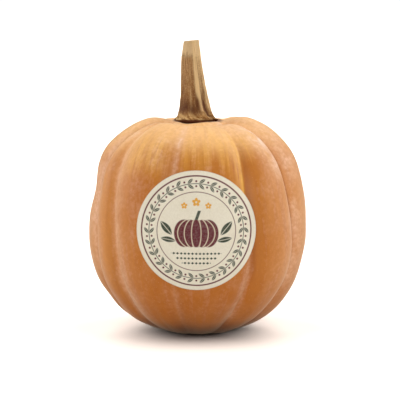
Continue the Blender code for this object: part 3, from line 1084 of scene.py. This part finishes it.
def gourd_leaves(ink):
    """Large leaves on both sides of the gourd, with smaller ones under them."""
    large_leaf, small_leaf = (0.5, 0.05, 50, 0.15, 0.06), (0.47, -0.14, 10, 0.13, 0.045)
    masks = []
    for side in (-1, 1):
        for shift, lift, tilt, length, width in (large_leaf, small_leaf):
            x, y = turned(ink.x * side - shift, ink.y - lift, tilt)
            masks.append(ink.leaf(x, y, length, width))
    return ink.either(*masks)


def diamond_rows(ink):
    """Three short rows of small diamonds under the gourd."""
    masks = []
    for level, reach in ((-0.37, 0.42), (-0.45, 0.34), (-0.53, 0.24)):
        cell = ink.paint.math("FRACT", ink.x * 16 + level * 50) - 0.5
        depth = 0.021 - abs(cell) * 0.8 / 16 - abs(ink.y - level)
        masks.append(ink.inside(depth) * ink.inside(reach - abs(ink.x)))
    return ink.either(*masks)


def blossoms(ink):
    """Three five-petalled blossoms over the gourd, with bare middles."""
    masks = []
    for shift, lift, size in ((-0.2, 0.43, 0.05), (0.0, 0.49, 0.065), (0.2, 0.43, 0.05)):
        x, y = ink.x - shift, ink.y - lift
        petals = abs(ink.paint.math("COSINE", ink.paint.math("ARCTAN2", x, y) * 2.5)) * 0.45 + 0.65
        reach = ink.length(x, y)
        masks.append(ink.inside(petals * size - reach) * ink.inside(reach - size * 0.24))
    return ink.either(*masks)


def paint_label():
    """Cream paper with a harvest wreath and a ribbed gourd printed in maroon, green and ochre."""
    paint = Paint("label_paper")
    place = paint.place()
    ink = Print(paint)
    fibres = paint.noise(place, 700, 4, 0.7)
    cloud = paint.noise(place, 60, 3)
    paper = paint.mix(paint.ease(cloud, 0.35, 0.7) * 0.5, srgb(238, 229, 208), srgb(232, 221, 198))
    paper = paint.mix(paint.ease(fibres, 0.6, 0.4) * 0.12, paper, srgb(190, 172, 140))

    maroon, green, ochre = srgb(96, 20, 32), srgb(48, 60, 42), srgb(226, 160, 44)
    body, ribs = gourd(ink)
    layers = (
        (ink.either(ink.ring(0.915, 0.024), ink.ring(0.655, 0.012)), maroon),
        (leaf_wreath(ink), green),
        (berries(ink), maroon),
        (gourd_leaves(ink), green),
        (gourd_stalk(ink), green),
        (body, maroon),
        (body * ribs, srgb(222, 205, 176)),
        (blossoms(ink), ochre),
        (diamond_rows(ink), green),
    )
    printed = paper
    cover = 0.92 + 0.08 * paint.ease(fibres, 0.35, 0.6)
    for mask, colour in layers:
        printed = paint.mix(mask * cover, printed, colour)
    paint.set(
        Base_Color=paint.mix(paint.ease(ink.reach, 0.985, 1.0) * 0.25, printed, srgb(170, 150, 120)),
        Roughness=0.5 + (fibres - 0.5) * 0.15,
        Specular_IOR_Level=0.35,
    )
    paint.bump(fibres, 0.05 * MM, 0.6)
    return paint


def make_floor():
    """A very wide white floor, with one colour for the camera and another for the light it gives back."""
    mesh = bpy.data.meshes.new("floor")
    sides = ((-1, -1), (1, -1), (1, 1), (-1, 1))
    mesh.from_pydata([(x * FLOOR_REACH, y * FLOOR_REACH, 0) for x, y in sides], [], [(0, 1, 2, 3)])
    floor = bpy.data.objects.new("floor", mesh)
    floor.location.z = -FLOOR_DROP
    bpy.context.scene.collection.objects.link(floor)
    material = bpy.data.materials.new("white_floor")
    material.use_nodes = True
    nodes, links = material.node_tree.nodes, material.node_tree.links
    nodes.clear()
    seen = nodes.new("ShaderNodeLightPath").outputs["Is Camera Ray"]
    colour = nodes.new("ShaderNodeMix")
    colour.data_type = "RGBA"
    colour.clamp_result = False
    colour.inputs[6].default_value = (*FLOOR_BOUNCE, 1)
    colour.inputs[7].default_value = (*FLOOR_SEEN, 1)
    links.new(seen, colour.inputs[0])
    diffuse = nodes.new("ShaderNodeBsdfDiffuse")
    links.new(colour.outputs[2], diffuse.inputs["Color"])
    links.new(diffuse.outputs[0], nodes.new("ShaderNodeOutputMaterial").inputs["Surface"])
    mesh.materials.append(material)
    lit("floor").objects.link(floor)


def make_camera():
    camera = bpy.data.cameras.new("camera")
    camera.sensor_width = SENSOR_WIDTH
    camera.lens = FOCAL_PIXELS / PICTURE_WIDTH * SENSOR_WIDTH
    camera.shift_x = SIDE_PIXELS / PICTURE_WIDTH
    camera.clip_end = 50
    holder = bpy.data.objects.new("camera", camera)
    bpy.context.scene.collection.objects.link(holder)
    elevation = math.radians(CAMERA_ELEVATION)
    back = Vector((0, -math.cos(elevation), math.sin(elevation)))
    holder.location = Vector((0, 0, AIM_HEIGHT)) + back * CAMERA_DISTANCE
    holder.rotation_euler = back.to_track_quat("Z", "Y").to_euler()
    bpy.context.scene.camera = holder


def make_light(name, reached, azimuth, elevation, angle, strength):
    """A soft, distant light, seen as a disc this many degrees across."""
    light = bpy.data.lights.new(name, "SUN")
    light.angle = math.radians(angle)
    light.energy = strength * math.pi
    holder = bpy.data.objects.new(name, light)
    bpy.context.scene.collection.objects.link(holder)
    turn, rise = math.radians(azimuth), math.radians(elevation)
    towards = Vector((math.sin(turn) * math.cos(rise), -math.cos(turn) * math.cos(rise), math.sin(rise)))
    holder.rotation_euler = towards.to_track_quat("Z", "Y").to_euler()
    holder.light_linking.receiver_collection = lit(reached)


def lit(name):
    """The collection of what the lamps for the pieces, or for the floor, reach."""
    return bpy.data.collections.get(name) or bpy.data.collections.new(name)


def light_studio():
    """Soft white light from overhead, the front and both sides, inside white surroundings."""
    for lamp in LAMPS:
        make_light(*lamp)
    world = bpy.data.worlds.new("white_surroundings")
    world.use_nodes = True
    nodes, links = world.node_tree.nodes, world.node_tree.links
    background = nodes["Background"]
    seen = nodes.new("ShaderNodeLightPath").outputs["Is Camera Ray"]
    strength = nodes.new("ShaderNodeMapRange")
    strength.inputs["To Min"].default_value = SURROUNDINGS
    strength.inputs["To Max"].default_value = SURROUNDINGS_SEEN
    links.new(seen, strength.inputs["Value"])
    links.new(strength.outputs[0], background.inputs["Strength"])
    background.inputs["Color"].default_value = (1, 1, 1, 1)
    bpy.context.scene.world = world
    bpy.context.scene.view_settings.view_transform = "Standard"


make_camera()
light_studio()
make_floor()
fruit_scale, fruit_shift = make_fruit()
make_stem()
make_label(fruit_scale, fruit_shift)
